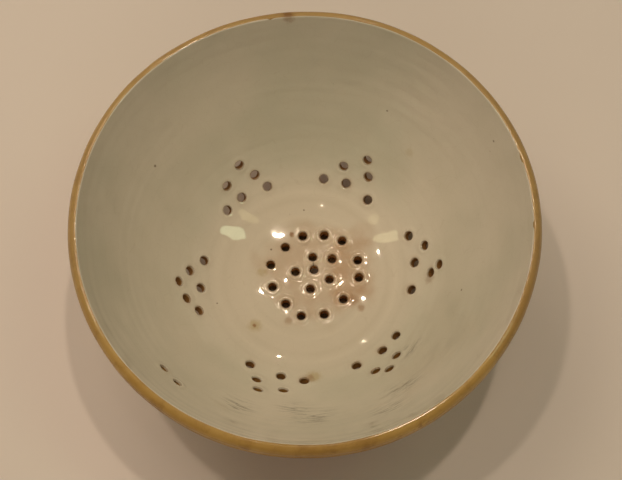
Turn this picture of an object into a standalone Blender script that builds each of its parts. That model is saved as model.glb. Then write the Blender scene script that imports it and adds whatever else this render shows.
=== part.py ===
"""Yellow-ware colander: a wheel-thrown strainer bowl of yellow-firing clay with a rolled lip, lined with white slip,
standing on a low foot ring. 54 drain holes are punched through the floor and the lower wall, and two more, close
together under the lip, take a hanging cord or a nail.

Metres, +Z up. The origin is on the table, on the bowl's axis. -Y is the side nearest a person who looks into the
bowl, and +X is that person's right.

  bowl_body     the thrown clay wall, floor and rolled lip
  foot_ring     the clay ring luted under the floor, on which the bowl stands
  slip_lining   the white slip coat over the whole inside, up to the crown of the lip
"""

import math

import bpy
from mathutils import Matrix, Vector

MM = 0.001

# ---- driving dimensions, in millimetres -------------------------------------------------------------------------
LIP_OUTER_R = 140.0  # 11 in across the lip
LIP_ROLL = 6.0  # the lip's quarter round, from its crown to its outer face
LIP_FACE = 5.0  # upright face under the quarter round
INNER_R = LIP_OUTER_R - LIP_ROLL  # inner edge of the lip
FLOOR_Z = 14.0  # top of the slip at the centre of the dished floor, above the table
WALL = 6.2  # wall thickness, slip included
FLOOR_THICKNESS = 6.8
SLIP = 0.8  # white slip coat
GAP = 0.3  # clearance between pieces that touch
FOOT_OUTER_R, FOOT_INNER_R = 59.0, 48.0
FOOT_REST_R = (50.5, 56.5)  # flat annulus that meets the table
HOLE_D = 6.3  # 1/4 in punch
HANG_HOLE_D = 5.6
STEPS = 48  # facets round the axis
HOLE_SIDES = 12

# Slope of the inner wall in degrees, against the share of the way along it from the floor's centre to the lip.
SLOPES = ((0.0, 0.0), (0.10, 5.0), (0.26, 12.0), (0.34, 23.5), (0.44, 48.5), (0.54, 56.0), (0.68, 60.0), (0.84, 67.0), (1.0, 71.0))

# Floor holes. Angle in degrees and distance in millimetres from the pattern's own centre, because the pattern was
# punched a little off the axis.
FLOOR_CENTRE = (5.5, 3.0)
FLOOR_RING = ((75, 28), (105.5, 28), (49.5, 30), (135.5, 27.5), (15.5, 31), (167, 30.5), (-7.5, 30.5), (-162.5, 30), (-44.5, 27), (-133, 29), (-78.5, 30), (-107.5, 31.5))
FLOOR_INNER = ((40, 16), (94.5, 12), (95, 3), (172, 13), (-22.5, 11), (-105.5, 11))

# Wall holes: six triangles of six, each a row of three, a row of two and one above them. Each hole is given by its
# angle round the axis in degrees and its distance in millimetres along the inside from the floor's centre.
WALL_GROUPS = {
    "back_left": ((112, 70), (128, 72), (139, 72), (116, 81), (131, 85), (121, 93)),
    "back_right": ((79, 71), (66, 72), (50.5, 69), (70, 83), (56.5, 83), (60, 94)),
    "right": ((19, 76), (4, 75), (-11, 73), (10.5, 85.5), (-3.5, 88), (-1, 96)),
    "front_right": ((-38, 76), (-48.5, 76), (-64, 74), (-47, 90), (-58.5, 89), (-54, 97)),
    "front_left": ((-121, 75), (-104, 75), (-92, 77), (-114, 86), (-101, 90), (-111, 98)),
    "left": ((171.5, 71), (-172.5, 73), (-160, 78.5), (179, 81), (-166.5, 86), (-174.5, 90.5)),
}
HANG_HOLES = ((-137, 153), (-131, 154.5))  # angle, distance along the inside


def clear_scene():
    for obj in list(bpy.data.objects):
        bpy.data.objects.remove(obj, do_unlink=True)


def slope_at(share):
    """Slope in radians at a share of the way along the inside: a monotone cubic through SLOPES."""
    xs = [x for x, _ in SLOPES]
    ys = [math.radians(y) for _, y in SLOPES]
    steps = [(ys[i + 1] - ys[i]) / (xs[i + 1] - xs[i]) for i in range(len(xs) - 1)]
    tangents = [0.0] + [2 * a * b / (a + b) if a * b > 0 else 0.0 for a, b in zip(steps, steps[1:])] + [steps[-1]]
    i = max(k for k in range(len(xs) - 1) if share >= xs[k])
    h = xs[i + 1] - xs[i]
    t = (share - xs[i]) / h
    return (
        (2 * t**3 - 3 * t**2 + 1) * ys[i]
        + (t**3 - 2 * t**2 + t) * h * tangents[i]
        + (3 * t**2 - 2 * t**3) * ys[i + 1]
        + (t**3 - t**2) * h * tangents[i + 1]
    )


def inside_curve(count=400):
    """Points (distance along, radius, height, slope) of the finished inner surface, from the floor's centre to the lip."""
    raw = [(0.0, 0.0, 0.0)]
    for k in range(1, count + 1):
        angle = slope_at((k - 0.5) / count)
        share, radius, height = raw[-1]
        raw.append((k / count, radius + math.cos(angle) / count, height + math.sin(angle) / count))
    scale = INNER_R / raw[-1][1]
    return [(s * scale, r * scale, FLOOR_Z + z * scale, slope_at(s)) for s, r, z in raw]


INSIDE = inside_curve()
LENGTH = INSIDE[-1][0]
TOP_Z = INSIDE[-1][2]


def inside_at(distance, depth=0.0):
    """(radius, height, slope) at a distance along the inside, sunk by depth into the wall along its normal."""
    place = min(max(distance / LENGTH, 0.0), 1.0) * (len(INSIDE) - 1)
    i = min(int(place), len(INSIDE) - 2)
    t = place - i
    _, radius, height, slope = (a + (b - a) * t for a, b in zip(INSIDE[i], INSIDE[i + 1]))
    return radius + depth * math.sin(slope), height - depth * math.cos(slope), slope


def distances(first, last, widest):
    """Distances along the inside from first to last, closer together where the wall bends more."""
    out, here = [first], first
    while here < last:
        bend = abs(inside_at(min(here + 3, last))[2] - inside_at(here)[2]) / 3
        here += min(widest, max(5.0, 0.16 / max(bend, 1e-6)))
        out.append(min(here, last))
    if len(out) > 2 and out[-1] - out[-2] < 3:
        out.pop(-2)
    return out


def lathe(name, profile, collection):
    """A turned solid from a closed (radius, height) profile whose ends lie on the axis, or which closes on itself."""
    on_axis = abs(profile[0][0]) < 1e-9
    mesh = bpy.data.meshes.new(name)
    points = [(r * MM, 0, z * MM) for r, z in profile]
    edges = [(i, i + 1) for i in range(len(points) - 1)]
    if not on_axis:
        edges.append((len(points) - 1, 0))
    mesh.from_pydata(points, edges, [])
    obj = bpy.data.objects.new(name, mesh)
    collection.objects.link(obj)
    screw = obj.modifiers.new("turn", "SCREW")
    screw.axis = "Z"
    screw.angle = 2 * math.pi
    screw.steps = screw.render_steps = STEPS
    screw.use_merge_vertices = True
    screw.merge_threshold = 0.00001
    screw.use_smooth_shade = True
    return obj


def bowl_profile():
    """Down the outside from the crown of the lip, under the floor to the axis, then back up the inside."""
    top = TOP_Z
    face_r = LIP_OUTER_R
    outer = []
    for k in range(4):  # quarter round of the lip
        angle = math.radians(90 - 30 * k)
        outer.append((face_r - LIP_ROLL + LIP_ROLL * math.cos(angle), top - LIP_ROLL + LIP_ROLL * math.sin(angle)))
    outer[0] = (INNER_R + 0.9, top)
    outer.append((face_r, top - LIP_ROLL - LIP_FACE))
    # the roll tucks back under the lip to meet the wall
    outer.append((face_r - 1.6, top - LIP_ROLL - LIP_FACE - 3.2))
    start = LENGTH - 20.0
    for distance in reversed(distances(50.0, start, 17.0)):
        r, z, _ = inside_at(distance, WALL)
        outer.append((r, z))
    under = FLOOR_Z - FLOOR_THICKNESS
    while outer[-1][0] < FOOT_OUTER_R + 2 or outer[-1][1] < under:
        outer.pop()
    outer.append((FOOT_OUTER_R + 1.0, under))
    outer.append((0.0, under))
    inner = []
    sunk = SLIP + GAP
    for distance in distances(0.0, LENGTH - 0.8, 17.0):
        r, z, _ = inside_at(distance, sunk)
        inner.append((r, z))
    inner[0] = (0.0, inner[0][1])
    # The lathe's ends lie on the axis, so the path starts there: up the inside last.
    path = inner + outer
    return path[::-1]


def slip_profile():
    """The lining: its outer face lies GAP inside the clay, its inner face is the surface that shows."""
    stops = distances(0.0, LENGTH - 0.8, 17.0)
    back = [inside_at(d, SLIP)[:2] for d in stops]
    front = [inside_at(d)[:2] for d in stops]
    back[0], front[0] = (0.0, FLOOR_Z - SLIP), (0.0, FLOOR_Z)
    # down the side that faces the clay, then back up the side that shows
    return back[::-1] + front


def foot_profile():
    under = FLOOR_Z - FLOOR_THICKNESS - GAP
    low, high = FOOT_REST_R
    return [
        (FOOT_OUTER_R, under),
        (FOOT_OUTER_R - 0.6, 1.6),
        (high, 0.0),
        (low, 0.0),
        (FOOT_INNER_R + 0.6, 1.4),
        (FOOT_INNER_R, under),
    ]


def hole_places():
    """(name, point, outward axis, diameter) of every hole: the point is on the surface that shows, in millimetres."""
    places = []
    cx, cy = FLOOR_CENTRE
    for kind, holes in (("floor_ring", FLOOR_RING), ("floor_inner", FLOOR_INNER)):
        for k, (angle, distance) in enumerate(holes):
            a = math.radians(angle)
            x, y = cx + distance * math.cos(a), cy + distance * math.sin(a)
            places.append((f"{kind}_{k}", Vector((x, y, inside_at(math.hypot(x, y))[1])), Vector((0, 0, -1)), HOLE_D))
    walls = [(name, hole, HOLE_D) for name, holes in WALL_GROUPS.items() for hole in holes]
    walls += [("hang", hole, HANG_HOLE_D) for hole in HANG_HOLES]
    for k, (name, (angle, distance), diameter) in enumerate(walls):
        r, z, slope = inside_at(distance)
        a = math.radians(angle)
        out = Vector((math.sin(slope) * math.cos(a), math.sin(slope) * math.sin(a), -math.cos(slope)))
        places.append((f"{name}_{k}", Vector((r * math.cos(a), r * math.sin(a), z)), out, diameter))
    return places


def punch(collection):
    """One closed cylinder for each hole, square to the wall and longer than it is thick."""
    for name, point, out, diameter in hole_places():
        centre = (point + out * (WALL / 2)) * MM
        bpy.ops.mesh.primitive_cylinder_add(vertices=HOLE_SIDES, radius=diameter / 2 * MM, depth=(WALL + 18) * MM)
        cutter = bpy.context.active_object
        cutter.name = "punch_" + name
        turn = Vector((0, 0, 1)).rotation_difference(out).to_matrix().to_4x4()
        cutter.matrix_world = Matrix.Translation(centre) @ turn
        cutter.hide_render = True
        cutter.display_type = "WIRE"
        for owner in list(cutter.users_collection):
            owner.objects.unlink(cutter)
        collection.objects.link(cutter)


def cut_holes(obj, cutters):
    cut = obj.modifiers.new("drain_holes", "BOOLEAN")
    cut.operation = "DIFFERENCE"
    cut.solver = "EXACT"
    cut.operand_type = "COLLECTION"
    cut.collection = cutters


def material(name, colour, roughness, coat):
    made = bpy.data.materials.new(name)
    made.use_nodes = True
    shader = made.node_tree.nodes["Principled BSDF"]
    shader.inputs["Base Color"].default_value = (*colour, 1)
    shader.inputs["Roughness"].default_value = roughness
    shader.inputs["Metallic"].default_value = 0.0
    shader.inputs["Coat Weight"].default_value = coat
    made.diffuse_color = (*colour, 1)
    return made


def main():
    clear_scene()
    parts = bpy.data.collections.new("yellow_ware_colander")
    cutters = bpy.data.collections.new("punches")
    for collection in (parts, cutters):
        bpy.context.scene.collection.children.link(collection)
    cutters.hide_render = True

    punch(cutters)
    body = lathe("bowl_body", bowl_profile(), parts)
    foot = lathe("foot_ring", foot_profile(), parts)
    slip = lathe("slip_lining", slip_profile(), parts)
    for obj in (body, slip):
        cut_holes(obj, cutters)

    clay = material("yellow_glazed_clay", (0.46, 0.26, 0.075), 0.22, 0.5)
    bare = material("bare_clay_foot", (0.50, 0.32, 0.13), 0.75, 0.0)
    white = material("white_slip_glazed", (0.62, 0.60, 0.49), 0.12, 0.6)
    for obj, made in ((body, clay), (foot, bare), (slip, white)):
        obj.data.materials.append(made)
        obj.data.shade_smooth()


main()
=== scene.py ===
"""The looks of the yellow-ware colander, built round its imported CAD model.

Three closed meshes stand for the three CAD nodes: the thrown clay body with its rolled lip, the white slip coat that
lines it, and the foot ring. Each is computed from the same turned curve as the CAD, at a finer pitch, with the
potter's throwing rings, a slightly uneven lip and a rounded, raised edge of glaze round most of the punched holes.

Lengths are in millimetres until a mesh is made, and metres from there on.
"""

import math

import bpy
import numpy as np
from mathutils import Matrix, Vector
from mathutils.geometry import delaunay_2d_cdt


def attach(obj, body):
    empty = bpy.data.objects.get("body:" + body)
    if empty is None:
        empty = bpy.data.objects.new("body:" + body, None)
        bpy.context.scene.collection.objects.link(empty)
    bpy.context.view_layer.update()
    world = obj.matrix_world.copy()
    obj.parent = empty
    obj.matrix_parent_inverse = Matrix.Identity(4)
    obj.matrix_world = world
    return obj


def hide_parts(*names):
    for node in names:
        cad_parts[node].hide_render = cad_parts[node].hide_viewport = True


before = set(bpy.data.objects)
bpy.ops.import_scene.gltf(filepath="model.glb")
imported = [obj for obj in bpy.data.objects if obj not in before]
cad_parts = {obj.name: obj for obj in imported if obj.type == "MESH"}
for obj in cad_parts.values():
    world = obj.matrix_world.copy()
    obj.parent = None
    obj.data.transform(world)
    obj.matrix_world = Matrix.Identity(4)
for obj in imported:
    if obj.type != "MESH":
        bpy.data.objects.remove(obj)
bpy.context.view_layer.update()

MM = 0.001

# ---- the CAD's own dimensions -------------------------------------------------------------------------------------
LIP_OUTER_R, LIP_ROLL, LIP_FACE = 140.0, 6.0, 5.0
INNER_R = LIP_OUTER_R - LIP_ROLL
FLOOR_Z, FLOOR_THICKNESS, WALL = 14.0, 6.8, 6.2
SLIP = 0.8
FOOT_OUTER_R, FOOT_INNER_R = 59.0, 48.0
FOOT_REST_R = (50.5, 56.5)
HOLE_R, HANG_HOLE_R = 2.97, 2.6
SLOPES = ((0.0, 0.0), (0.10, 5.0), (0.26, 12.0), (0.34, 23.5), (0.44, 48.5), (0.54, 56.0), (0.68, 60.0), (0.84, 67.0), (1.0, 71.0))

FLOOR_CENTRE = (5.5, 3.0)
FLOOR_RING = ((75, 28), (105.5, 28), (49.5, 30), (135.5, 27.5), (15.5, 31), (167, 30.5), (-7.5, 30.5), (-162.5, 30), (-44.5, 27), (-133, 29), (-78.5, 30), (-107.5, 31.5))
FLOOR_INNER = ((40, 16), (94.5, 12), (95, 3), (172, 13), (-22.5, 11), (-105.5, 11))
WALL_GROUPS = {
    "back_left": ((112, 70), (128, 72), (139, 72), (116, 81), (131, 85), (121, 93)),
    "back_right": ((79, 71), (66, 72), (50.5, 69), (70, 83), (56.5, 83), (60, 94)),
    "right": ((19, 76), (4, 75), (-11, 73), (10.5, 85.5), (-3.5, 88), (-1, 96)),
    "front_right": ((-38, 76), (-48.5, 76), (-64, 74), (-47, 90), (-58.5, 89), (-54, 97)),
    "front_left": ((-121, 75), (-104, 75), (-92, 77), (-114, 86), (-101, 90), (-111, 98)),
    "left": ((171.5, 71), (-172.5, 73), (-160, 78.5), (179, 81), (-166.5, 86), (-174.5, 90.5)),
}
HANG_HOLES = ((-137, 153), (-131, 154.5))

# ---- finish of the surface ----------------------------------------------------------------------------------------
EDGE_ROUND = 0.50  # glaze rounding at the mouth of a hole
RING_SIDES = 28  # points round a hole
RIM_SIDES = 440  # points round the lip
JOIN_AT = 161.0  # distance along the inside above which the mesh is a plain grid


# ---- the turned curve ---------------------------------------------------------------------------------------------
def slope_at(share):
    """Slope in radians at a share of the way along the inside: a monotone cubic through SLOPES."""
    xs = [x for x, _ in SLOPES]
    ys = [math.radians(y) for _, y in SLOPES]
    steps = [(ys[i + 1] - ys[i]) / (xs[i + 1] - xs[i]) for i in range(len(xs) - 1)]
    tangents = [0.0] + [2 * a * b / (a + b) if a * b > 0 else 0.0 for a, b in zip(steps, steps[1:])] + [steps[-1]]
    i = max(k for k in range(len(xs) - 1) if share >= xs[k])
    h = xs[i + 1] - xs[i]
    t = (share - xs[i]) / h
    return (
        (2 * t**3 - 3 * t**2 + 1) * ys[i]
        + (t**3 - 2 * t**2 + t) * h * tangents[i]
        + (3 * t**2 - 2 * t**3) * ys[i + 1]
        + (t**3 - t**2) * h * tangents[i + 1]
    )


def turned_curve(count=1600):
    phi = np.array([slope_at(k / count) for k in range(count + 1)])
    mid = (phi[1:] + phi[:-1]) / 2
    r = np.concatenate([[0], np.cumsum(np.cos(mid))]) / count
    z = np.concatenate([[0], np.cumsum(np.sin(mid))]) / count
    scale = INNER_R / r[-1]
    s = np.linspace(0, 1, count + 1) * scale
    return s, r * scale, FLOOR_Z + z * scale, phi


S, R, Z, PHI = turned_curve()
LENGTH, TOP = float(S[-1]), float(Z[-1])
# A radius for the flat pattern on which every small circle on the bowl stays a circle.
FLAT = np.concatenate([[0.0], np.exp(np.cumsum(np.diff(S) / np.maximum((R[1:] + R[:-1]) / 2, 1e-6)))])
k20 = int(np.searchsorted(S, 20.0))
FLAT = np.where(S <= S[k20], S, FLAT * (S[k20] / FLAT[k20]))


def along(s):
    return np.interp(s, S, R), np.interp(s, S, Z), np.interp(s, S, PHI)


def hole_list():
    """(distance along the inside, angle in radians, radius, kind) of each hole."""
    out = []
    cx, cy = FLOOR_CENTRE
    for kind, holes in (("ring", FLOOR_RING), ("inner", FLOOR_INNER)):
        for angle, distance in holes:
            a = math.radians(angle)
            x, y = cx + distance * math.cos(a), cy + distance * math.sin(a)
            out.append((math.hypot(x, y), math.atan2(y, x), HOLE_R, kind))
    for kind, holes in WALL_GROUPS.items():
        out += [(d, math.radians(a), HOLE_R, kind) for a, d in holes]
    out += [(d, math.radians(a), HANG_HOLE_R, "hang") for a, d in HANG_HOLES]
    return out


HOLES = hole_list()
# Each hole's edge is its own: how high the glaze stands round it, and which way it leans.
luck = np.random.default_rng(41)
HOLE_LIFT = luck.uniform(0.42, 0.62, len(HOLES))
# A guess, from the reflections: lower edges in the wall, and almost level ones round two holes on the floor's left.
HOLE_LIFT *= np.array([0.55 if s0 > 60 else 1.0 for s0, _, _, _ in HOLES])
HOLE_LIFT[[3, 5]] *= (0.0, 0.15)
HOLE_LEAN = luck.uniform(0, 2 * math.pi, len(HOLES))
HOLE_TINT = luck.uniform(0.15, 1.0, len(HOLES))


def smooth_noise(points, seed, shortest, longest, count):
    """A smooth, even noise of about unit size at each point: plane waves of many lengths and directions."""
    rng = np.random.default_rng(seed)
    total = np.zeros(len(points))
    for _ in range(count):
        way = rng.normal(size=3)
        way /= np.linalg.norm(way)
        length = math.exp(rng.uniform(math.log(shortest), math.log(longest)))
        total += np.sin(points @ way * (2 * math.pi / length) + rng.uniform(0, 2 * math.pi))
    return total * math.sqrt(2.0 / count)


def ramp(x, low, high):
    t = np.clip((x - low) / (high - low), 0, 1)
    return t * t * (3 - 2 * t)


def bump_at(x, centre, width):
    return np.exp(-(((x - centre) / width) ** 2))


def near_holes(s, th, reach):
    """For each hole, (its index, the points within reach of it, their distance from its centre, their bearing)."""
    r = np.interp(s, S, R)
    flat = np.interp(s, S, FLAT)
    fx, fy = flat * np.cos(th), flat * np.sin(th)
    for k, (s0, t0, _, _) in enumerate(HOLES):
        r0 = float(np.interp(s0, S, R))
        f0 = float(np.interp(s0, S, FLAT))
        scale = f0 / max(r0, 1e-6) if s0 > 1 else 1.0
        dx, dy = fx - f0 * math.cos(t0), fy - f0 * math.sin(t0)
        close = np.nonzero(dx * dx + dy * dy < (reach * scale) ** 2)[0]
        if not len(close):
            continue
        # along the wall and round it
        ds = dx[close] * math.cos(t0) + dy[close] * math.sin(t0)
        du = -dx[close] * math.sin(t0) + dy[close] * math.cos(t0)
        yield k, close, np.hypot(ds, du) / scale, np.arctan2(ds, du)


def lift_inside(s, th):
    """How far the finished inner surface stands above the turned curve, towards the inside of the bowl."""
    s, th = np.asarray(s, float), np.asarray(th, float)
    r, z, _ = along(s)
    p = np.stack([r * np.cos(th), r * np.sin(th), z], 1)
    wall = ramp(s, 55, 80) * (1 - ramp(s, LENGTH - 9, LENGTH - 2))
    out = 0.046 * wall * np.sin(2 * math.pi * s / 10.8 + th + 1.6 * np.sin(2 * math.pi * s / 47)) * (0.75 + 0.35 * smooth_noise(p, 7, 30, 80, 12))
    out += 0.010 * wall * np.sin(2 * math.pi * s / 4.7 + th + 1.1)
    out += (0.05 + 0.11 * ramp(s, 60, 95)) * smooth_noise(p, 3, 45, 120, 14) * (1 - ramp(s, LENGTH - 12, LENGTH - 1))
    out += (0.007 + 0.033 * ramp(s, 55, 80)) * smooth_noise(p, 5, 10, 24, 30) * (1 - ramp(s, LENGTH - 8, LENGTH - 1))
    out += 0.06 * bump_at(s, 0.0, 10.0)  # the low boss that the potter's finger left at the centre
    for k, close, d, bearing in near_holes(s, th, 14.0):
        edge = d - HOLES[k][2]
        lean = 1 + 0.28 * np.cos(bearing - HOLE_LEAN[k])
        out[close] += HOLE_LIFT[k] * lean * np.exp(-(((edge - 1.7) / 1.4) ** 2))
    return out


def out_of_round(points):
    """The lip isn't a true circle: it is pulled in a little where the pot was lifted off the wheel. Points in millimetres."""
    th = np.arctan2(points[:, 1], points[:, 0])
    pull = 0.55 - 0.37 * np.sin(3 * th) - 0.16 * np.cos(5 * th) - 0.05 * np.cos(2 * th + 0.6)
    share = np.clip(points[:, 2] / TOP, 0, 1) ** 2
    r = np.maximum(np.hypot(points[:, 0], points[:, 1]), 1e-6)
    keep = 1 - pull * share / np.maximum(r, 60.0)
    out = points.copy()
    out[:, 0] *= keep
    out[:, 1] *= keep
    out[:, 2] -= np.clip(0.10 + 0.09 * np.sin(2 * th + 1.0) + 0.04 * np.sin(5 * th), 0.01, 1) * ramp(points[:, 2], 60, TOP)
    return out


def inside_points(s, th, depth=0.0):
    """Points of the inner surface at a distance along it and an angle, sunk into the wall by depth."""
    s, th = np.asarray(s, float), np.asarray(th, float)
    r, z, phi = along(s)
    lift = lift_inside(s, th) - depth
    rr = r - lift * np.sin(phi)
    zz = z + lift * np.cos(phi)
    return np.stack([rr * np.cos(th), rr * np.sin(th), zz], 1)


def inside_normals(s, th):
    """Normals of the finished inner surface, from its own slopes, so that reflections in the glaze are even."""
    s, th = np.asarray(s, float), np.asarray(th, float)
    e = 0.05
    near = np.maximum(s, 0.4)
    r = np.maximum(np.interp(near, S, R), 0.4)
    a = out_of_round(inside_points(near + e, th)) - out_of_round(inside_points(near - e, th))
    b = out_of_round(inside_points(near, th + e / r)) - out_of_round(inside_points(near, th - e / r))
    n = np.cross(a, b)
    n /= np.linalg.norm(n, axis=1, keepdims=True)
    return np.where(n[:, 2:] < 0, -n, n)


# ---- the outside --------------------------------------------------------------------------------------------------
UNDER = FLOOR_Z - FLOOR_THICKNESS
OUT_R = R + WALL * np.sin(PHI)
OUT_Z = Z - WALL * np.cos(PHI)
# Under the floor the clay is flat out to the foot, then turns up in a short step to meet the wall.
step_s = np.array([0.0, 40.0, 44.0, 48.0, 50.5, 52.0, 53.2, 55.0, 58.0, 60.0, 61.6, 63.0])
step_r = np.array([0.0, 40.0, 46.2, 53.0, 57.4, 59.3, 60.0, 60.25, 60.5, 61.0, 62.2, float(np.interp(63.0, S, OUT_R))])
step_z = np.array([UNDER] * 5 + [UNDER + 0.05, UNDER + 0.5, UNDER + 2.0, UNDER + 5.2, UNDER + 7.3, UNDER + 8.6, float(np.interp(63.0, S, OUT_Z))])
low = S <= 63.0
OUT_R = np.where(low, np.interp(S, step_s, step_r), OUT_R)
OUT_Z = np.where(low, np.interp(S, step_s, step_z), OUT_Z)


def outside_points(s, th, depth=0.0):
    s, th = np.asarray(s, float), np.asarray(th, float)
    r, z, phi = np.interp(s, S, OUT_R), np.interp(s, S, OUT_Z), np.interp(s, S, PHI)
    p = np.stack([r * np.cos(th), r * np.sin(th), z], 1)
    wall = ramp(s, 64, 84) * (1 - ramp(s, 158, 170))
    lift = 0.07 * wall * np.sin(2 * math.pi * s / 8.3 + th + 1.2 * np.sin(2 * math.pi * s / 53 + 1))
    lift += 0.035 * wall * np.sin(2 * math.pi * s / 5.1 + th * 1 + 0.4)
    lift += (0.15 * ramp(s, 62, 78) * smooth_noise(p, 13, 50, 130, 14) + 0.02 * smooth_noise(p, 15, 12, 28, 22)) * (1 - ramp(s, 160, 172))
    for k, close, d, _ in near_holes(s, th, 9.0):
        edge = d - HOLES[k][2]
        lift[close] += 0.16 * np.exp(-(((edge - 1.1) / 0.9) ** 2))
    lift = lift - depth
    rr, zz = r + lift * np.sin(phi), z - lift * np.cos(phi)
    return np.stack([rr * np.cos(th), rr * np.sin(th), zz], 1)


# ---- flat patterns ------------------------------------------------------------------------------------------------
def ring_at(k, radius, sides=RING_SIDES):
    """(distance, angle) of a circle of points round a hole, on the surface."""
    s0, t0, _, _ = HOLES[k]
    f0 = float(np.interp(s0, S, FLAT))
    scale = f0 / float(np.interp(s0, S, R))
    a = np.arange(sides) * (2 * math.pi / sides)
    x = f0 * math.cos(t0) + radius * scale * (-math.sin(t0) * np.cos(a) + math.cos(t0) * np.sin(a))
    y = f0 * math.sin(t0) + radius * scale * (math.cos(t0) * np.cos(a) + math.sin(t0) * np.sin(a))
    return np.interp(np.hypot(x, y), FLAT, S), np.arctan2(y, x)


def pattern(edge_radius, rings, pitch):
    """A triangulated flat pattern of the bowl up to JOIN_AT, open at every hole.

    The points are (distance, angle). First comes each hole's edge, hole by hole, then the outer edge of RIM_SIDES
    points, then the rest. edge_radius is a function of the hole's radius, and rings are further radii beyond it.
    """
    s_all, t_all = [], []
    for k, (_, _, radius, _) in enumerate(HOLES):
        s, t = ring_at(k, edge_radius(radius))
        s_all.append(s)
        t_all.append(t)
    rim_t = np.arange(RIM_SIDES) * (2 * math.pi / RIM_SIDES)
    s_all.append(np.full(RIM_SIDES, JOIN_AT))
    t_all.append(rim_t)
    fixed = sum(map(len, s_all))

    extra_s, extra_t, own = [], [], []
    for k, (_, _, radius, _) in enumerate(HOLES):
        for j, more in enumerate(rings):
            s, t = ring_at(k, edge_radius(radius) + more)
            turn = (j % 2 == 0) * (math.pi / RING_SIDES)
            if turn:
                s0, t0, _, _ = HOLES[k]
                f0 = float(np.interp(s0, S, FLAT))
                scale = f0 / float(np.interp(s0, S, R))
                a = np.arange(RING_SIDES) * (2 * math.pi / RING_SIDES) + turn
                q = (edge_radius(radius) + more) * scale
                x = f0 * math.cos(t0) + q * (-math.sin(t0) * np.cos(a) + math.cos(t0) * np.sin(a))
                y = f0 * math.sin(t0) + q * (math.cos(t0) * np.cos(a) + math.sin(t0) * np.sin(a))
                s, t = np.interp(np.hypot(x, y), FLAT, S), np.arctan2(y, x)
            extra_s.append(s)
            extra_t.append(t)
            own.append(np.full(len(s), k))
    row, odd = 0.0, 0
    grid_s, grid_t = [np.array([0.0])], [np.array([0.0])]
    while True:
        row += pitch * 0.9
        if row > JOIN_AT - pitch * 0.7:
            break
        count = RIM_SIDES if row > JOIN_AT - 8 * pitch and pitch < 3 else max(6, round(2 * math.pi * float(np.interp(row, S, R)) / pitch))
        odd = 1 - odd
        grid_s.append(np.full(count, row))
        grid_t.append((np.arange(count) + 0.5 * odd) * (2 * math.pi / count))
    grid_s, grid_t = np.concatenate(grid_s), np.concatenate(grid_t)

    def keep(s, t, mine, clear):
        ok = np.ones(len(s), bool)
        for k, close, d, _ in near_holes(s, t, 12.0):
            reach = edge_radius(HOLES[k][2]) + clear
            other = mine[close] != k
            ok[close[other & (d < reach)]] = False
        return ok

    last = rings[-1] if rings else 0.0
    mine = np.concatenate(own) if own else np.zeros(0, int)
    if own:
        es, et = np.concatenate(extra_s), np.concatenate(extra_t)
        ok = keep(es, et, mine, 0.35)
        # between two close holes, a point belongs to the nearer one
        nearest = np.full(len(es), 1e9)
        which = np.full(len(es), -1)
        for k, close, d, _ in near_holes(es, et, 12.0):
            gap = d - HOLES[k][2]
            better = gap < nearest[close] - 1e-6
            nearest[close[better]] = gap[better]
            which[close[better]] = k
        ok &= which == mine
        s_all.append(es[ok])
        t_all.append(et[ok])
    ok = keep(grid_s, grid_t, np.full(len(grid_s), -1), last + pitch * 0.55)
    s_all.append(grid_s[ok])
    t_all.append(grid_t[ok])
    s, t = np.concatenate(s_all), np.concatenate(t_all)
    flat = np.interp(s, S, FLAT)
    flat_points = [Vector((float(x), float(y))) for x, y in zip(flat * np.cos(t), flat * np.sin(t))]
    _, _, faces, origin, _, _ = delaunay_2d_cdt(flat_points, [], [], 0, 1e-7)
    back = [o[0] for o in origin]
    faces = np.array([[back[i] for i in f] for f in faces])
    edge_of = np.full(len(s), -1)
    for k in range(len(HOLES)):
        edge_of[k * RING_SIDES : (k + 1) * RING_SIDES] = k
    owners = edge_of[faces]
    inside_hole = (owners[:, 0] >= 0) & (owners[:, 0] == owners[:, 1]) & (owners[:, 1] == owners[:, 2])
    faces = faces[~inside_hole]
    return s, t, faces, fixed


def hole_edge(k):
    return np.arange(k * RING_SIDES, (k + 1) * RING_SIDES)


RIM_START = len(HOLES) * RING_SIDES
RIM_EDGE = np.arange(RIM_START, RIM_START + RIM_SIDES)
RIM_T = np.arange(RIM_SIDES) * (2 * math.pi / RIM_SIDES)


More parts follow.
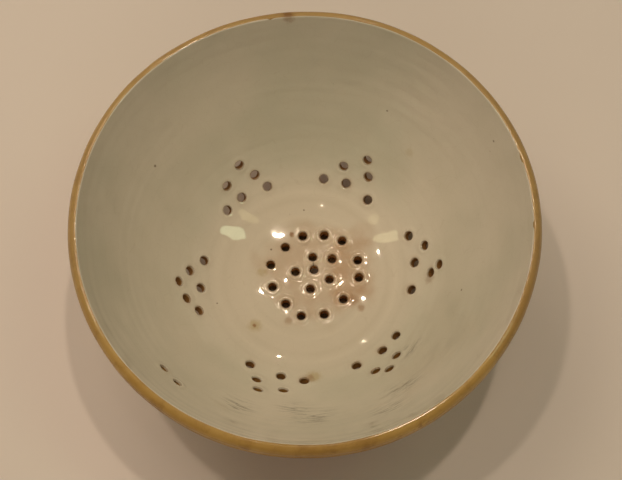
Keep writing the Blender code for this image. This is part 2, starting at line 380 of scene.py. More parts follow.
class Shell:
    """Points and faces of one closed mesh, gathered patch by patch."""

    def __init__(self):
        self.points, self.faces, self.count = [], [], 0
        self.marks = {}

    def add(self, points, **marks):
        start = self.count
        self.points.append(np.asarray(points, float))
        self.count += len(points)
        for name in set(self.marks) | set(marks):
            have = self.marks.setdefault(name, [])
            missing = start - sum(map(len, have))
            if missing:
                have.append(np.zeros(missing))
            have.append(np.asarray(marks.get(name, np.zeros(len(points))), float))
        return np.arange(start, start + len(points))

    def triangles(self, ids, faces, flip=False):
        f = ids[faces]
        self.faces += [tuple(map(int, x)) for x in (f[:, ::-1] if flip else f)]

    def strip(self, a, b, flip=False):
        """A closed band of quads between two rings of equally many points."""
        n = len(a)
        for i in range(n):
            j = (i + 1) % n
            q = (int(a[i]), int(a[j]), int(b[j]), int(b[i]))
            self.faces.append(q[::-1] if flip else q)

    def make(self, name, normals=None):
        points = out_of_round(np.concatenate(self.points))
        mesh = bpy.data.meshes.new(name)
        mesh.from_pydata((points * MM).tolist(), [], self.faces)
        mesh.validate()
        mesh.update()
        for mark, have in self.marks.items():
            values = np.concatenate(have)
            values = np.concatenate([values, np.zeros(len(points) - len(values))])
            layer = mesh.attributes.new(mark, "FLOAT", "POINT")
            layer.data.foreach_set("value", values.astype(np.float32))
        mesh.shade_smooth()
        if normals is not None:
            ids, given = normals
            own = np.empty(len(mesh.vertices) * 3, np.float32)
            mesh.vertex_normals.foreach_get("vector", own)
            own = own.reshape(-1, 3)
            own[ids] = given
            mesh.normals_split_custom_set_from_vertices(own.tolist())
        obj = bpy.data.objects.new(name, mesh)
        bpy.context.scene.collection.objects.link(obj)
        return obj


# ---- stains, by place on the finished inside ----------------------------------------------------------------------
def stain_marks(s, th):
    """halo: brown at the holes' edges. patch: pink-brown tea stain. rubbed: grey scuffs. lip: the raised glaze round a hole."""
    r, z, _ = along(s)
    p = np.stack([r * np.cos(th), r * np.sin(th), z], 1)
    halo, lip = np.zeros(len(s)), np.zeros(len(s))
    for k, close, d, bearing in near_holes(s, th, 13.0):
        edge = np.maximum(d - HOLES[k][2], 0)
        side = 0.6 + 0.4 * np.cos(bearing - HOLE_LEAN[k] * 1.7)
        halo[close] = np.maximum(halo[close], HOLE_TINT[k] * side * np.exp(-edge / 1.1))
        lip[close] = np.maximum(lip[close], min(1.0, HOLE_LIFT[k] / 0.4) * np.exp(-(((edge - 1.7) / 2.0) ** 2)))
    rough = smooth_noise(p, 21, 9, 30, 30)
    fine = smooth_noise(p, 23, 4, 10, 30)
    x, y = p[:, 0], p[:, 1]

    def blob(cx, cy, rx, ry, turn=0.0):
        c, n = math.cos(turn), math.sin(turn)
        u, v = (x - cx) * c + (y - cy) * n, -(x - cx) * n + (y - cy) * c
        return np.hypot(u / rx, v / ry)

    d1 = blob(30, 6, 17, 31) + 0.06 * rough + 0.04 * fine
    d2 = blob(30, -13, 14, 10) + 0.10 * rough + 0.06 * fine
    d3 = blob(37, 30, 12, 10, 0.3) + 0.10 * rough
    patch = 0.46 * (1 - ramp(d1, 0.55, 1.15)) + 0.32 * (1 - ramp(d2, 0.5, 1.1)) + 0.22 * (1 - ramp(d3, 0.5, 1.1))
    patch += 0.50 * (1 - ramp(blob(4, 4, 38, 35) + 0.10 * rough, 0.6, 1.2))
    # where spoons and beaters have left grey metal marks on the wall
    rubbed = np.zeros(len(s))
    for angle, along_wall, round_mm, up_mm in ((-113.3, 134, 8, 11), (-95, 118, 9, 9), (-89, 132, 12, 12), (-57.3, 132, 11, 8), (-41, 97, 8, 5), (-66, 150, 10, 9)):
        turn = (th - math.radians(angle) + math.pi) % (2 * math.pi) - math.pi
        rubbed = np.maximum(rubbed, np.exp(-((turn * r / round_mm) ** 2) - ((s - along_wall) / up_mm) ** 2))
    return halo, np.clip(patch, 0, 1), rubbed, lip


# ---- the white slip lining ----------------------------------------------------------------------------------------
def arc_point(turn, radius=1.4):
    """(r, z, normal angle) on the rounding between the inner wall and the crown. turn is 71 degrees at the wall, 0 at the crown."""
    a = math.radians(turn)
    return INNER_R + 1.0 - radius * math.sin(a), TOP - radius + radius * math.cos(a), a


def slip_thickness(s):
    return 0.30 + (SLIP - 0.30) * (1 - ramp(s, LENGTH - 10, LENGTH - 2))


EDGE_TURN = 30.0 + 5.0 * np.sin(7 * RIM_T + 0.7) * np.sin(3 * RIM_T) + 3.0 * np.sin(19 * RIM_T + 2) + 2.0 * np.sin(31 * RIM_T)
CHIPS = ((14.5, 2.2), (-3.6, 1.6), (98.0, 1.3))  # small chips in the slip's edge: angle in degrees, half width in mm
for chip, half in CHIPS:
    away = (np.degrees(RIM_T) - chip + 180) % 360 - 180
    EDGE_TURN = EDGE_TURN + 44 * np.exp(-((np.radians(away) * INNER_R / half) ** 4))


def slip_lining():
    shell = Shell()
    s, t, faces, fixed = pattern(lambda r: r + EDGE_ROUND, (0.35, 0.8, 1.3, 1.9, 2.7), 1.95)
    halo, patch, rubbed, lip = stain_marks(s, t)
    front = shell.add(inside_points(s, t), halo=halo, patch=patch, rubbed=rubbed, lip=lip)
    given = [inside_normals(s, t)]
    ids = [front]
    shell.triangles(front, faces)

    # the back, coarse, because nobody sees it
    bs, bt, bfaces, _ = pattern(lambda r: r + 0.02, (), 6.5)
    back = shell.add(inside_points(bs, bt, SLIP))
    shell.triangles(back, bfaces, flip=True)

    # each hole's rounded mouth
    for k, (s0, t0, radius, _) in enumerate(HOLES):
        last = front[hole_edge(k)]
        for step in (22.5, 45, 67.5, 90):
            a = math.radians(step)
            rs, rt = ring_at(k, radius + EDGE_ROUND * (1 - math.sin(a)))
            now = shell.add(inside_points(rs, rt, EDGE_ROUND * (1 - math.cos(a))), halo=np.full(RING_SIDES, min(1.0, HOLE_TINT[k] + 0.2 * step / 90)))
            shell.strip(now, last, flip=True)
            last = now
        shell.strip(back[hole_edge(k)], last, flip=True)

    # up the wall to the edge at the crown
    rim_f, rim_b = front[RIM_EDGE], back[RIM_EDGE]
    s_end = LENGTH - 1.0
    rows = np.linspace(JOIN_AT, s_end, 17)[1:]
    for row in rows:
        here = np.full(RIM_SIDES, row)
        now = shell.add(inside_points(here, RIM_T))
        ids.append(now)
        given.append(inside_normals(here, RIM_T))
        shell.strip(rim_f, now, flip=True)
        rim_f = now
        behind = shell.add(inside_points(here, RIM_T, 0.0) - edge_normal(here) * slip_thickness(here)[:, None])
        shell.strip(rim_b, behind)
        rim_b = behind
    steps = 5
    for j in range(1, steps + 1):
        turn = 71.0 + (EDGE_TURN - 71.0) * j / steps
        now = shell.add(lip_arc(turn, 0.05))
        shell.strip(rim_f, now, flip=True)
        rim_f = now
        thin = 0.30 + (0.16 - 0.30) * j / steps
        behind = shell.add(lip_arc(turn, 0.05 - thin))
        shell.strip(rim_b, behind)
        rim_b = behind
    # the coat's own rounded edge
    nose = shell.add(lip_arc(EDGE_TURN - 4.5, -0.03))
    shell.strip(rim_f, nose, flip=True)
    shell.strip(nose, rim_b, flip=True)
    return shell.make("white_slip_lining", (np.concatenate(ids), np.concatenate(given)))


def edge_normal(s):
    phi = np.interp(s, S, PHI)
    return np.stack([-np.sin(phi) * np.cos(RIM_T), -np.sin(phi) * np.sin(RIM_T), np.cos(phi)], 1)


def lip_arc(turn, proud):
    turn = np.radians(np.broadcast_to(turn, RIM_T.shape))
    q = 1.4 + proud
    r = INNER_R + 1.0 - q * np.sin(turn)
    z = TOP - 1.4 + q * np.cos(turn)
    return np.stack([r * np.cos(RIM_T), r * np.sin(RIM_T), z], 1)


# ---- the thrown clay body -----------------------------------------------------------------------------------------
def lip_rows():
    """(radius, height) rows of the outside, from the wall at JOIN_AT up over the roll to the crown."""
    start = 172.0
    rows = []
    for s in np.linspace(JOIN_AT, start, 6)[1:]:
        rows.append(("wall", float(s)))
    r0, z0, phi = float(np.interp(start, S, OUT_R)), float(np.interp(start, S, OUT_Z)), float(np.interp(start, S, PHI))
    face_low, face_high = TOP - LIP_ROLL - LIP_FACE, TOP - LIP_ROLL
    p0, p3 = np.array([r0, z0]), np.array([LIP_OUTER_R - 0.12, face_low])
    p1, p2 = p0 + 6.0 * np.array([math.cos(phi), math.sin(phi)]), p3 - np.array([0.35, 5.4])
    for t in np.linspace(0, 1, 11)[1:]:
        p = (1 - t) ** 3 * p0 + 3 * (1 - t) ** 2 * t * p1 + 3 * (1 - t) * t * t * p2 + t**3 * p3
        rows.append(("lip", p[0], p[1]))
    for t in np.linspace(0, 1, 5)[1:]:
        rows.append(("lip", LIP_OUTER_R - 0.12 * (1 - math.sin(math.pi * min(t + 0.0, 1) * 0.5)), face_low + (face_high - face_low) * t))
    a, b = LIP_OUTER_R - (INNER_R + 1.0), LIP_ROLL
    for t in np.linspace(0, 90, 12)[1:]:
        c = math.radians(t)
        rows.append(("lip", INNER_R + 1.0 + a * math.cos(c), TOP - b + b * math.sin(c)))
    return rows


def clay_body():
    shell = Shell()
    # outside
    s, t, faces, _ = pattern(lambda r: r + 0.5, (0.5, 1.2, 2.1), 2.5)
    out = shell.add(outside_points(s, t))
    shell.triangles(out, faces, flip=True)
    # the face under the slip
    hs, ht, hfaces, _ = pattern(lambda r: r + 0.03, (), 6.5)
    hidden = shell.add(inside_points(hs, ht, SLIP + 0.15))
    shell.triangles(hidden, hfaces)
    # the hole walls, clay all the way
    for k, (s0, t0, radius, _) in enumerate(HOLES):
        top = inside_points(*ring_at(k, radius + 0.03), SLIP + 0.15)
        low = outside_points(*ring_at(k, radius + 0.5))
        centre_top, centre_low = top.mean(0), low.mean(0)
        way = centre_low - centre_top
        last = hidden[hole_edge(k)]
        spoke = top - centre_top
        for share in (0.2, 0.5, 0.8, 0.9, 0.96):
            flare = 0.5 * max(0.0, (share - 0.86) / 0.14) ** 2
            ring = centre_top + way * share + spoke * (1 + (0.03 * math.sin(3 + share * 9) + flare) / radius)
            # the ring follows the outside's slant near its mouth
            slant = (low - centre_low) - spoke * ((radius + 0.5) / (radius + 0.03))
            ring = ring + slant * share**3
            on_floor = HOLES[k][3] in ("ring", "inner")
            # these marks carry painted shade onto the hole walls, strong in the wall holes and lighter in the floor
            # holes
            now = shell.add(ring, bore=np.full(RING_SIDES, 0.0 if on_floor else 1.0), pale_bore=np.full(RING_SIDES, 1.0 if on_floor else 0.0))
            shell.strip(now, last, flip=True)
            last = now
        shell.strip(out[hole_edge(k)], last, flip=True)

    # up the outside and over the lip
    rim = out[RIM_EDGE]
    for row in lip_rows():
        if row[0] == "wall":
            points = outside_points(np.full(RIM_SIDES, row[1]), RIM_T)
        else:
            r, z = row[1], row[2]
            p = np.stack([r * np.cos(RIM_T), r * np.sin(RIM_T), np.full(RIM_SIDES, z)], 1)
            fade = ramp(np.array([z]), TOP - 26, TOP - 15)[0] * (1 - ramp(np.array([z]), TOP - 2.5, TOP)[0])
            dent = np.minimum(0.07 * smooth_noise(p, 31, 25, 90, 16) - 0.05, 0.0) * fade + np.minimum(0.03 * smooth_noise(p, 33, 7, 16, 24) - 0.02, 0.0) * fade
            points = p.copy()
            points[:, :2] *= (1 + dent / r)[:, None]
        now = shell.add(points)
        shell.strip(rim, now)
        rim = now
    # from the crown down inside, under the slip's edge
    for turn, proud in ((12, -0.02), (24, -0.04), (36, -0.12), (48, -0.2), (60, -0.28), (71, -0.32)):
        chipped = np.zeros(RIM_SIDES)
        for chip, half in CHIPS:
            away = (np.degrees(RIM_T) - chip + 180) % 360 - 180
            chipped += 0.32 * np.exp(-((np.radians(away) * INNER_R / (half * 0.9)) ** 2)) * ramp(np.array([turn]), 0, 30)[0]
        now = shell.add(lip_arc(turn, proud - chipped))
        shell.strip(rim, now)
        rim = now
    for row in np.linspace(LENGTH - 2.0, JOIN_AT, 10):
        here = np.full(RIM_SIDES, row)
        if row <= JOIN_AT + 1e-6:
            shell.strip(rim, hidden[RIM_EDGE])
            break
        depth = slip_thickness(here) + 0.02 + 0.13 * (1 - ramp(here, LENGTH - 10, LENGTH - 2))
        now = shell.add(inside_points(here, RIM_T) - edge_normal(here) * depth[:, None])
        shell.strip(rim, now)
        rim = now
    return shell.make("thrown_clay_body")


# ---- the foot ring ------------------------------------------------------------------------------------------------
def foot():
    shell = Shell()
    sides = 260
    th = np.arange(sides) * (2 * math.pi / sides)
    low, high = FOOT_REST_R
    rows = [(57.0, UNDER + 2.6), (59.4, UNDER + 1.9), (60.05, UNDER + 0.9), (59.85, UNDER + 0.2), (59.6, UNDER - 0.9), (59.3, UNDER - 2.4), (58.95, 2.8), (58.45, 1.3), (57.6, 0.4), (high, 0.0)]
    rows += [((low * 2 + high) / 3, 0.0), (low, 0.0), (49.6, 0.35), (49.0, 1.1), (48.6, 2.2), (48.2, 4.2), (47.8, 6.0), (46.9, UNDER - 0.1), (45.6, UNDER + 0.4)]
    rows += [(46.5, UNDER + 1.6), (54.0, UNDER + 3.0)]
    first = last = None
    for r, z in rows:
        p = np.stack([r * np.cos(th), r * np.sin(th), np.full(sides, z)], 1)
        if 0.2 < z < UNDER - 0.5:
            p[:, :2] *= (1 + np.minimum(0.10 * smooth_noise(p, 51, 18, 60, 14) - 0.1, 0) / r)[:, None]
        now = shell.add(p)
        if last is not None:
            shell.strip(now, last)
        else:
            first = now
        last = now
    shell.strip(first, last)
    return shell.make("turned_foot_ring")


# ---- materials ----------------------------------------------------------------------------------------------------
class Nodes:
    """A short way to write a node material."""

    def __init__(self, name):
        self.material = bpy.data.materials.new(name)
        self.material.use_nodes = True
        self.tree = self.material.node_tree
        self.tree.nodes.clear()
        self.out = self.tree.nodes.new("ShaderNodeOutputMaterial")
        self.shader = self.tree.nodes.new("ShaderNodeBsdfPrincipled")
        self.tree.links.new(self.shader.outputs[0], self.out.inputs[0])
        self.where = self.tree.nodes.new("ShaderNodeTexCoord").outputs["Object"]

    def link(self, a, b):
        self.tree.links.new(a, b)

    def math(self, op, a, b=None, clamp=False):
        n = self.tree.nodes.new("ShaderNodeMath")
        n.operation = op
        n.use_clamp = clamp
        for i, v in enumerate((a, b)):
            if v is None:
                continue
            if isinstance(v, (int, float)):
                n.inputs[i].default_value = v
            else:
                self.link(v, n.inputs[i])
        return n.outputs[0]

    def noise(self, scale, detail=3.0, rough=0.5, distort=0.0, where=None):
        n = self.tree.nodes.new("ShaderNodeTexNoise")
        n.inputs["Scale"].default_value = scale
        n.inputs["Detail"].default_value = detail
        n.inputs["Roughness"].default_value = rough
        n.inputs["Distortion"].default_value = distort
        self.link(where or self.where, n.inputs["Vector"])
        return n.outputs["Fac"]

    def voronoi(self, scale, feature="F1", where=None):
        n = self.tree.nodes.new("ShaderNodeTexVoronoi")
        n.feature = feature
        n.inputs["Scale"].default_value = scale
        self.link(where or self.where, n.inputs["Vector"])
        return n

    def ramp(self, value, low, high, out_low=0.0, out_high=1.0):
        n = self.tree.nodes.new("ShaderNodeMapRange")
        n.interpolation_type = "SMOOTHSTEP"
        n.inputs["From Min"].default_value = low
        n.inputs["From Max"].default_value = high
        n.inputs["To Min"].default_value = out_low
        n.inputs["To Max"].default_value = out_high
        self.link(value, n.inputs["Value"])
        return n.outputs[0]

    def mix(self, factor, a, b, blend="MIX"):
        n = self.tree.nodes.new("ShaderNodeMix")
        n.data_type = "RGBA"
        n.blend_type = blend
        n.clamp_factor = True
        for socket, v in ((n.inputs["Factor"], factor), (n.inputs["A"], a), (n.inputs["B"], b)):
            socket = socket if socket.enabled else socket
            if isinstance(v, tuple):
                pass
        factor_in = n.inputs[0]
        a_in = [i for i in n.inputs if i.name == "A" and i.type == "RGBA"][0]
        b_in = [i for i in n.inputs if i.name == "B" and i.type == "RGBA"][0]
        for socket, v in ((factor_in, factor), (a_in, a), (b_in, b)):
            if isinstance(v, (int, float)):
                socket.default_value = v
            elif isinstance(v, tuple):
                socket.default_value = (*v, 1.0)
            else:
                self.link(v, socket)
        return [o for o in n.outputs if o.type == "RGBA"][0]

    def attribute(self, name):
        n = self.tree.nodes.new("ShaderNodeAttribute")
        n.attribute_type = "GEOMETRY"
        n.attribute_name = name
        return n.outputs["Fac"]

    def bump(self, height, distance, strength=1.0, normal=None):
        n = self.tree.nodes.new("ShaderNodeBump")
        n.inputs["Strength"].default_value = strength
        n.inputs["Distance"].default_value = distance
        self.link(height, n.inputs["Height"])
        if normal is not None:
            self.link(normal, n.inputs["Normal"])
        return n.outputs[0]

    def xyz(self):
        n = self.tree.nodes.new("ShaderNodeSeparateXYZ")
        self.link(self.where, n.inputs[0])
        return n.outputs[0], n.outputs[1], n.outputs[2]

    def near_line(self, a, b, half):
        """1 on the line from a to b, in metres, falling to 0 at half its width."""
        x, y, _ = self.xyz()
        dx, dy = b[0] - a[0], b[1] - a[1]
        length = math.hypot(dx, dy)
        ux, uy = dx / length, dy / length
        rx, ry = self.math("SUBTRACT", x, a[0]), self.math("SUBTRACT", y, a[1])
        u = self.math("ADD", self.math("MULTIPLY", rx, ux), self.math("MULTIPLY", ry, uy))
        v = self.math("ADD", self.math("MULTIPLY", rx, -uy), self.math("MULTIPLY", ry, ux))
        wander = self.math("MULTIPLY", self.math("SUBTRACT", self.noise(420.0, 2.0), 0.5), 0.0012)
        v = self.math("ABSOLUTE", self.math("ADD", v, wander))
        on = self.ramp(v, half * 0.35, half, 1.0, 0.0)
        ends = self.math("MULTIPLY", self.ramp(u, 0.0, 0.0004), self.ramp(u, length - 0.0004, length, 1.0, 0.0))
        return self.math("MULTIPLY", on, ends)


def specks(n, scale, size, share, where=None):
    """Small round iron specks: in a share of the cells, a spot of the given size in metres."""
    cells = n.voronoi(scale, where=where)
    pick = n.tree.nodes.new("ShaderNodeSeparateColor")
    n.link(cells.outputs["Color"], pick.inputs[0])
    chosen = n.math("GREATER_THAN", pick.outputs[0], 1.0 - share)
    radius = n.math("MULTIPLY", n.math("ADD", n.math("MULTIPLY", pick.outputs[1], 0.7), 0.5), size * scale)
    soft = n.math("SUBTRACT", 1.0, n.math("DIVIDE", cells.outputs["Distance"], radius), clamp=True)
    return n.math("MULTIPLY", n.ramp(soft, 0.0, 0.6), chosen)


RUST, OLIVE, DARK = (0.28, 0.13, 0.045), (0.42, 0.32, 0.13), (0.12, 0.07, 0.035)
STAINS = (
    (-9.6, 30.9, 2.6, 0.75, RUST),
    (-7.6, 133.3, 5.2, 0.50, RUST),
    (-30.7, 4.1, 4.2, 0.40, OLIVE),
    (-27.6, 4.6, 2.6, 0.35, OLIVE),
    (-35.1, -33.9, 6.4, 0.50, OLIVE),
    (-35.3, -34.0, 1.9, 0.75, RUST),
    (3.6, -71.6, 6.5, 0.55, OLIVE),
    (1.0, -72.6, 4.4, 0.45, RUST),
    (81.5, -9.0, 5.5, 0.35, RUST),
    (70.5, 71.0, 4.5, 0.22, OLIVE),
    (-12.4, -30.5, 4.0, 0.40, RUST),
    (31.0, -16.5, 5.0, 0.35, RUST),
    (36.5, -23.0, 3.6, 0.50, RUST),
    (-95.9, 56.7, 1.3, 0.8, DARK),
    (55.4, 94.3, 1.1, 0.8, DARK),
    (117.0, 52.4, 1.2, 0.8, DARK),
    (98.5, -26.2, 1.1, 0.8, DARK),
    (-0.8, 48.0, 0.9, 0.8, DARK),
    (-60.0, -19.1, 0.8, 0.8, DARK),
    (-23.8, 20.5, 0.9, 0.8, DARK),
)


def white_slip():
    n = Nodes("white_slip_under_clear_glaze")
    _, _, z = n.xyz()
    cream, grey, warm = (0.69, 0.64, 0.54), (0.575, 0.555, 0.455), (0.64, 0.565, 0.465)
    broad = n.noise(9.0, 3.0, 0.55)
    colour = n.mix(n.ramp(broad, 0.35, 0.68), cream, grey)
    cloud = n.noise(38.0, 4.0, 0.6, 0.4)
    colour = n.mix(n.ramp(cloud, 0.45, 0.75, 0.0, 0.35), colour, (0.63, 0.585, 0.48))
    # slip warmer on the floor, and painted darker there as shade so the floor is no brighter than the walls
    colour = n.mix(n.ramp(z, 0.018, 0.036, 0.75, 0.0), colour, warm)
    # lighter and darker bands round the floor at the potter's rings
    x, y, _ = n.xyz()
    radius = n.math("SQRT", n.math("ADD", n.math("MULTIPLY", x, x), n.math("MULTIPLY", y, y)))
    uneven = n.ramp(n.noise(24.0, 2.0), 0.3, 0.7, 0.3, 1.0)
    for middle, half, strength, tint in ((38.5, 2.6, 0.16, (0.50, 0.44, 0.34)), (43.5, 2.4, 0.14, (0.78, 0.71, 0.58)), (55.0, 3.2, 0.20, (0.50, 0.44, 0.33)), (60.5, 3.0, 0.18, (0.78, 0.72, 0.60)), (66.5, 2.4, 0.14, (0.48, 0.44, 0.34))):
        off = n.math("ABSOLUTE", n.math("SUBTRACT", radius, middle * MM))
        colour = n.mix(n.math("MULTIPLY", n.ramp(off, 0.0, half * MM, strength, 0.0), uneven), colour, tint)
    # tea stain
    patch = n.attribute("patch")
    ragged = n.math("MULTIPLY", patch, n.ramp(n.noise(90.0, 4.0, 0.65), 0.30, 0.62, 0.75, 1.10))
    colour = n.mix(n.math("MULTIPLY", ragged, 0.72), colour, (0.44, 0.27, 0.15))
    # brown at the holes' edges
    halo = n.math("MULTIPLY", n.attribute("halo"), n.ramp(n.noise(260.0, 3.0, 0.6), 0.3, 0.7, 0.5, 1.1), clamp=True)
    colour = n.mix(n.math("MULTIPLY", halo, 0.8), colour, (0.30, 0.15, 0.055))
    # single stains and specks: place on the floor plan, size, strength and colour
    for x, y, size, strength, tint in STAINS:
        spot = n.tree.nodes.new("ShaderNodeVectorMath")
        spot.operation = "DISTANCE"
        height = float(np.interp(math.hypot(x, y), R, Z))
        spot.inputs[1].default_value = (x * MM, y * MM, height * MM)
        n.link(n.where, spot.inputs[0])
        near = n.math("ADD", spot.outputs["Value"], n.math("MULTIPLY", n.math("SUBTRACT", n.noise(300.0, 3.0, 0.7), 0.5), size * MM))
        colour = n.mix(n.ramp(near, size * 0.25 * MM, size * MM, strength, 0.0), colour, tint)
    # grey scuffs from spoons, long and faint, running round the wall
    stretch = n.tree.nodes.new("ShaderNodeMapping")
    stretch.inputs["Scale"].default_value = (1.0, 1.0, 7.0)
    n.link(n.where, stretch.inputs["Vector"])
    scuff = n.noise(26.0, 5.0, 0.7, 0.6, where=stretch.outputs[0])
    colour = n.mix(n.ramp(scuff, 0.66, 0.80, 0.0, 0.22), colour, (0.30, 0.28, 0.22))
    rub = n.noise(75.0, 4.0, 0.7, 0.3, where=stretch.outputs[0])
    marks = n.math("MULTIPLY", n.attribute("rubbed"), n.ramp(rub, 0.46, 0.62))
    colour = n.mix(n.math("MULTIPLY", marks, 0.80), colour, (0.20, 0.185, 0.15))
    colour = n.mix(n.math("MULTIPLY", specks(n, 95.0, 0.00042, 0.10), 0.85), colour, (0.13, 0.075, 0.035))
    colour = n.mix(n.math("MULTIPLY", specks(n, 260.0, 0.00022, 0.07), 0.6), colour, (0.16, 0.10, 0.05))
    # fine crazing in the glaze, only just there
    craze_where = n.tree.nodes.new("ShaderNodeVectorMath")
    craze_where.operation = "ADD"
    n.link(n.where, craze_where.inputs[0])
    wander = n.tree.nodes.new("ShaderNodeTexNoise")
    wander.inputs["Scale"].default_value = 60.0
    n.link(n.where, wander.inputs["Vector"])
    shrink = n.tree.nodes.new("ShaderNodeVectorMath")
    shrink.operation = "SCALE"
    shrink.inputs["Scale"].default_value = 0.006
    n.link(wander.outputs["Color"], shrink.inputs[0])
    n.link(shrink.outputs[0], craze_where.inputs[1])
    craze = n.voronoi(150.0, "DISTANCE_TO_EDGE", where=craze_where.outputs[0]).outputs["Distance"]
    colour = n.mix(n.ramp(craze, 0.0, 0.022, 0.10, 0.0), colour, (0.33, 0.25, 0.15))
    # a hairline crack between two of the floor's holes
    a, b = HOLES[14], HOLES[13]
    crack = n.near_line((a[0] * math.cos(a[1]) * MM, a[0] * math.sin(a[1]) * MM), (b[0] * math.cos(b[1]) * MM, b[0] * math.sin(b[1]) * MM), 0.00034)
    crack = n.math("MULTIPLY", crack, n.ramp(z, 0.020, 0.022, 1.0, 0.0))
    colour = n.mix(n.math("MULTIPLY", crack, 0.92), colour, (0.06, 0.035, 0.02))
    n.link(colour, n.shader.inputs["Base Color"])
    rough = n.ramp(n.noise(55.0, 3.0, 0.6), 0.3, 0.75, 0.022, 0.034)
    rough = n.math("ADD", rough, n.ramp(scuff, 0.66, 0.80, 0.0, 0.10))
    rough = n.math("ADD", rough, n.math("MULTIPLY", n.attribute("lip"), 0.09))
    n.link(rough, n.shader.inputs["Roughness"])
    n.shader.inputs["IOR"].default_value = 1.52
    peel = n.bump(n.noise(150.0, 2.0, 0.5), 0.00016, 0.06)
    pits = n.bump(n.math("SUBTRACT", 1.0, specks(n, 120.0, 0.00030, 0.12)), 0.00008, 0.35, peel)
    n.link(pits, n.shader.inputs["Normal"])
    return n.material


def yellow_clay(name="yellow_clay_under_clear_glaze", bare_below=None):
    n = Nodes(name)
    x, y, z = n.xyz()
    light, deep, brown = (0.55, 0.350, 0.100), (0.41, 0.231, 0.048), (0.26, 0.125, 0.03)
    colour = n.mix(n.ramp(n.noise(14.0, 4.0, 0.6), 0.33, 0.68), light, deep)
    mottle = n.noise(110.0, 4.0, 0.65, 0.3)
    colour = n.mix(n.ramp(mottle, 0.48, 0.72, 0.0, 0.6), colour, brown)
    colour = n.mix(n.ramp(n.noise(70.0, 3.0, 0.6, where=None), 0.58, 0.75, 0.0, 0.35), colour, (0.60, 0.40, 0.15))
    # throwing rings show as faint bands, thin glaze over each ridge
    bands = n.math("SINE", n.math("MULTIPLY", z, 2 * math.pi / 0.0062))
    bands = n.math("MULTIPLY", bands, n.noise(20.0, 2.0))
    colour = n.mix(n.ramp(bands, 0.0, 0.7, 0.0, 0.14), colour, (0.58, 0.36, 0.12))
    # the crown, where the glaze runs thin and pale next to the slip
    radius = n.math("SQRT", n.math("ADD", n.math("MULTIPLY", x, x), n.math("MULTIPLY", y, y)))
    crown = n.math("MULTIPLY", n.ramp(z, (TOP - 3.0) * MM, (TOP - 0.6) * MM), n.ramp(radius, (INNER_R + 0.6) * MM, (INNER_R + 3.4) * MM, 1.0, 0.0))
    crown = n.math("MULTIPLY", crown, n.ramp(n.noise(45.0, 3.0, 0.6), 0.3, 0.7, 0.35, 1.0))
    colour = n.mix(n.math("MULTIPLY", crown, 0.15), colour, (0.56, 0.41, 0.22))
    # paler and greyer round the back and the sides than at the front
    paler_back_and_sides = n.math("MULTIPLY", n.ramp(z, (TOP - 7.0) * MM, (TOP - 3.0) * MM), n.ramp(y, -0.105, -0.02))
    colour = n.mix(n.math("MULTIPLY", paler_back_and_sides, 0.38), colour, (0.47, 0.35, 0.20))
    # painted shade along the top of the roll, darker where it faces up
    colour = n.mix(n.ramp(z, (TOP - 4.0) * MM, (TOP - 0.4) * MM, 0.0, 0.30), colour, (0.30, 0.19, 0.065))
    # the hole walls: bare clay painted dark brown as shade inside the holes, darkest in the wall holes and less deep in
    # the floor holes
    colour = n.mix(n.math("MULTIPLY", n.attribute("bore"), 0.85), colour, (0.21, 0.085, 0.014))
    colour = n.mix(n.math("MULTIPLY", n.attribute("pale_bore"), 0.85), colour, (0.52, 0.25, 0.07))
    colour = n.mix(n.math("MULTIPLY", specks(n, 120.0, 0.00050, 0.13), 0.9), colour, (0.07, 0.035, 0.015))
    colour = n.mix(n.math("MULTIPLY", specks(n, 300.0, 0.00024, 0.16), 0.75), colour, (0.10, 0.05, 0.02))
    # one brown stain on the back of the lip
    spot = n.tree.nodes.new("ShaderNodeVectorMath")
    spot.operation = "DISTANCE"
    spot.inputs[1].default_value = (-0.0078, 0.1342, (TOP - 0.8) * MM)
    n.link(n.where, spot.inputs[0])
    near = n.math("ADD", spot.outputs["Value"], n.math("MULTIPLY", n.math("SUBTRACT", n.noise(200.0, 3.0), 0.5), 0.004))
    colour = n.mix(n.ramp(near, 0.0012, 0.0058, 0.72, 0.0), colour, (0.18, 0.08, 0.028))
    # the glaze is bright on the crown and drier below it
    rough = n.ramp(z, (TOP - 7.0) * MM, (TOP - 2.5) * MM, 0.62, 0.12)
    rough = n.math("ADD", rough, n.ramp(n.noise(60.0, 3.0, 0.6), 0.3, 0.75, -0.03, 0.06))
    if bare_below is not None:
        edge = n.math("ADD", z, n.math("MULTIPLY", n.math("SUBTRACT", n.noise(38.0, 3.0, 0.6), 0.5), 0.0022))
        bare = n.ramp(edge, bare_below - 0.0003, bare_below + 0.0003, 1.0, 0.0)
        grain = n.mix(n.ramp(n.noise(700.0, 3.0, 0.7), 0.35, 0.7), (0.56, 0.40, 0.20), (0.42, 0.27, 0.115))
        grain = n.mix(n.ramp(n.noise(30.0, 3.0, 0.6), 0.5, 0.75, 0.0, 0.5), grain, (0.30, 0.19, 0.09))
        colour = n.mix(bare, colour, grain)
        rough = n.math("MAXIMUM", rough, n.math("MULTIPLY", bare, 0.85))
    n.link(colour, n.shader.inputs["Base Color"])
    n.link(rough, n.shader.inputs["Roughness"])
    n.shader.inputs["IOR"].default_value = 1.42
    peel = n.bump(n.noise(120.0, 2.0, 0.5), 0.0002, 0.4)
    pits = n.bump(n.math("SUBTRACT", 1.0, specks(n, 160.0, 0.00035, 0.2)), 0.00015, 0.6, peel)
    n.link(pits, n.shader.inputs["Normal"])
    return n.material


def plain(name, colour, roughness):
    n = Nodes(name)
    n.shader.inputs["Base Color"].default_value = (*colour, 1)
    n.shader.inputs["Roughness"].default_value = roughness
    n.shader.inputs["Specular IOR Level"].default_value = 0.2
    return n.material


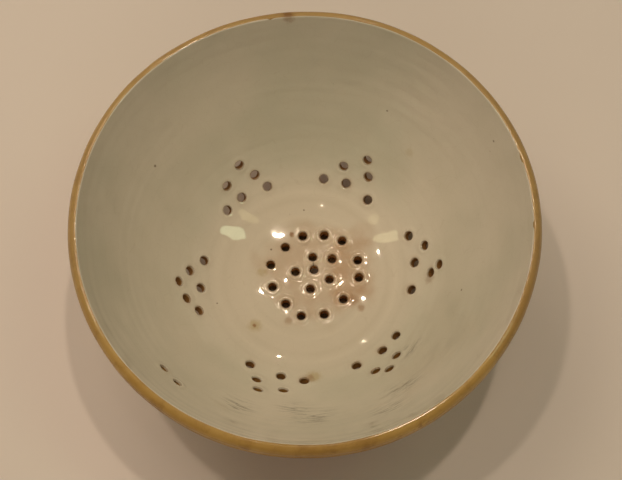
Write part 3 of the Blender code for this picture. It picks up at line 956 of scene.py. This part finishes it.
# ---- stage, light and camera --------------------------------------------------------------------------------------
def stage():
    bpy.ops.mesh.primitive_plane_add(size=6.0, location=(0, 0, -0.0002))
    floor = bpy.context.active_object
    floor.name = "pale_floor"
    floor.data.materials.append(plain("pale_floor", (0.80, 0.73, 0.68), 0.9))
    world = bpy.data.worlds.new("soft_room")
    world.use_nodes = True
    world.node_tree.nodes["Background"].inputs[0].default_value = (1.0, 0.82, 0.64, 1)
    world.node_tree.nodes["Background"].inputs[1].default_value = 0.07
    bpy.context.scene.world = world


def lamp(name, place, aim, size, watts, colour, shape="RECTANGLE", size_y=None):
    data = bpy.data.lights.new(name, "AREA")
    data.shape = shape
    data.size = size
    if size_y is not None:
        data.size_y = size_y
    data.energy = watts
    data.color = colour
    obj = bpy.data.objects.new(name, data)
    bpy.context.scene.collection.objects.link(obj)
    obj.location = place
    obj.rotation_euler = (Vector(aim) - Vector(place)).to_track_quat("-Z", "Y").to_euler()
    return obj


def flat_lamp(name, x, y, height, across, down, turn, watts, colour, lights_it=True, glints=True):
    """An elliptical ceiling lamp that faces straight down: across and down are its axes in metres, turn is in degrees."""
    data = bpy.data.lights.new(name, "AREA")
    data.shape = "ELLIPSE"
    data.size, data.size_y = across, down
    data.energy = watts
    data.color = colour
    obj = bpy.data.objects.new(name, data)
    bpy.context.scene.collection.objects.link(obj)
    obj.location = (x, y, height)
    obj.rotation_euler = (0, 0, math.radians(turn))
    obj.visible_diffuse = lights_it
    obj.visible_glossy = glints
    return obj


def lights():
    """Lamps under a ceiling: some light the clay, and small bright ones are only the hard glints in its glaze."""
    middle = (0, 0, 0.05)
    warm = (1.0, 0.815, 0.635)
    height = 1.72
    for name, place, watts, across, down in (
        ("soft_back", (-0.50, 0.62, 1.30), 5.3, 0.9, 0.7),
        ("soft_front", (-0.1, -1.5, 1.35), 4.6, 1.2, 0.8),
    ):
        fill = lamp(name, place, middle, across, watts, warm, size_y=down)
        fill.visible_glossy = False
    for name, x, y, size, watts in (("lamp_left", -0.38, 0.13, 0.07, 3.75), ("lamp_over", 0.0, -0.02, 0.09, 0.5), ("lamp_right", 0.20, 0.18, 0.055, 4.2)):
        flat_lamp(name, x, y, height, size, size, 0, watts, warm, glints=False)
    for name, x, y, across, down, glow in (
        ("bulb_right", 0.187, 0.203, 0.066, 0.016, 2600),
        ("bulb_middle", -0.126, -0.019, 0.016, 0.007, 1800),
        ("bulb_far_right", 0.313, 0.689, 0.011, 0.009, 5500),
        ("bulb_far_left", -0.564, 0.393, 0.012, 0.012, 6000),
        ("bulb_back_left", -0.24, 0.60, 0.015, 0.010, 6000),
        ("bulb_back_right", 0.15, 0.59, 0.018, 0.012, 4500),
        ("bulb_back_far", -0.408, 0.785, 0.012, 0.010, 5000),
        ("bulb_high_left", 0.29, 1.74, 0.045, 0.012, 2600),
        ("bulb_high_right", -0.67, 1.56, 0.040, 0.012, 2200),
    ):
        flat_lamp(name, x, y, height, across, down, 0, glow * math.pi**2 * across * down / 4, warm, lights_it=False)
    for name, x, y, half_long, half_short, turn, glow, tint in (
        ("panel_right_a", 0.825, 0.062, 0.44, 0.090, 157, 4.9, (0.84, 1.0, 0.60)),
        ("panel_right_b", 0.578, -0.072, 0.32, 0.055, 141, 1.8, (1.0, 0.86, 0.40)),
        ("panel_left_a", -1.02, 0.175, 0.52, 0.080, 12, 3.0, (1.0, 0.93, 0.50)),
        ("panel_left_b", -0.748, -0.047, 0.22, 0.072, 32, 1.6, (1.0, 0.88, 0.42)),
    ):
        watts = glow * math.pi * math.pi * half_long * half_short
        flat_lamp(name, x, y, height, 2 * half_long, 2 * half_short, turn, watts, tint)


def camera():
    """A lens of 66.5 mm, 0.68 m from the lip, 20 degrees off the bowl's axis."""
    unit = INNER_R * MM
    tilt, roll = math.radians(19.908), math.radians(1.173)
    across, up, away = -0.02934 * unit, 0.10761 * unit, 5.0281 * unit
    lean = Matrix(((1, 0, 0), (0, math.cos(tilt), math.sin(tilt)), (0, -math.sin(tilt), math.cos(tilt))))
    spin = Matrix(((math.cos(roll), -math.sin(roll), 0), (math.sin(roll), math.cos(roll), 0), (0, 0, 1)))
    turn = spin @ lean
    place = turn.transposed() @ -Vector((across, up, -away)) + Vector((0, 0, TOP * MM))
    data = bpy.data.cameras.new("camera")
    data.sensor_fit = "HORIZONTAL"
    data.sensor_width = 36.0
    data.lens = 1153.0 / 622.0 * 36.0
    data.clip_start = 0.01
    obj = bpy.data.objects.new("camera", data)
    bpy.context.scene.collection.objects.link(obj)
    obj.matrix_world = Matrix.Translation(place) @ turn.transposed().to_4x4()
    bpy.context.scene.camera = obj


def main():
    slip = slip_lining()
    body = clay_body()
    ring = foot()
    for piece, node, slot, made in (
        (body, "bowl_body", "yellow_glazed_clay", yellow_clay()),
        (ring, "foot_ring", "bare_clay", yellow_clay("turned_foot_clay", bare_below=0.0042)),
        (slip, "slip_lining", "white_slip", white_slip()),
    ):
        piece.data.materials.append(made)
        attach(piece, "root")
        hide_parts(node)
    stage()
    lights()
    camera()
    bpy.context.scene.view_settings.view_transform = "Standard"


main()
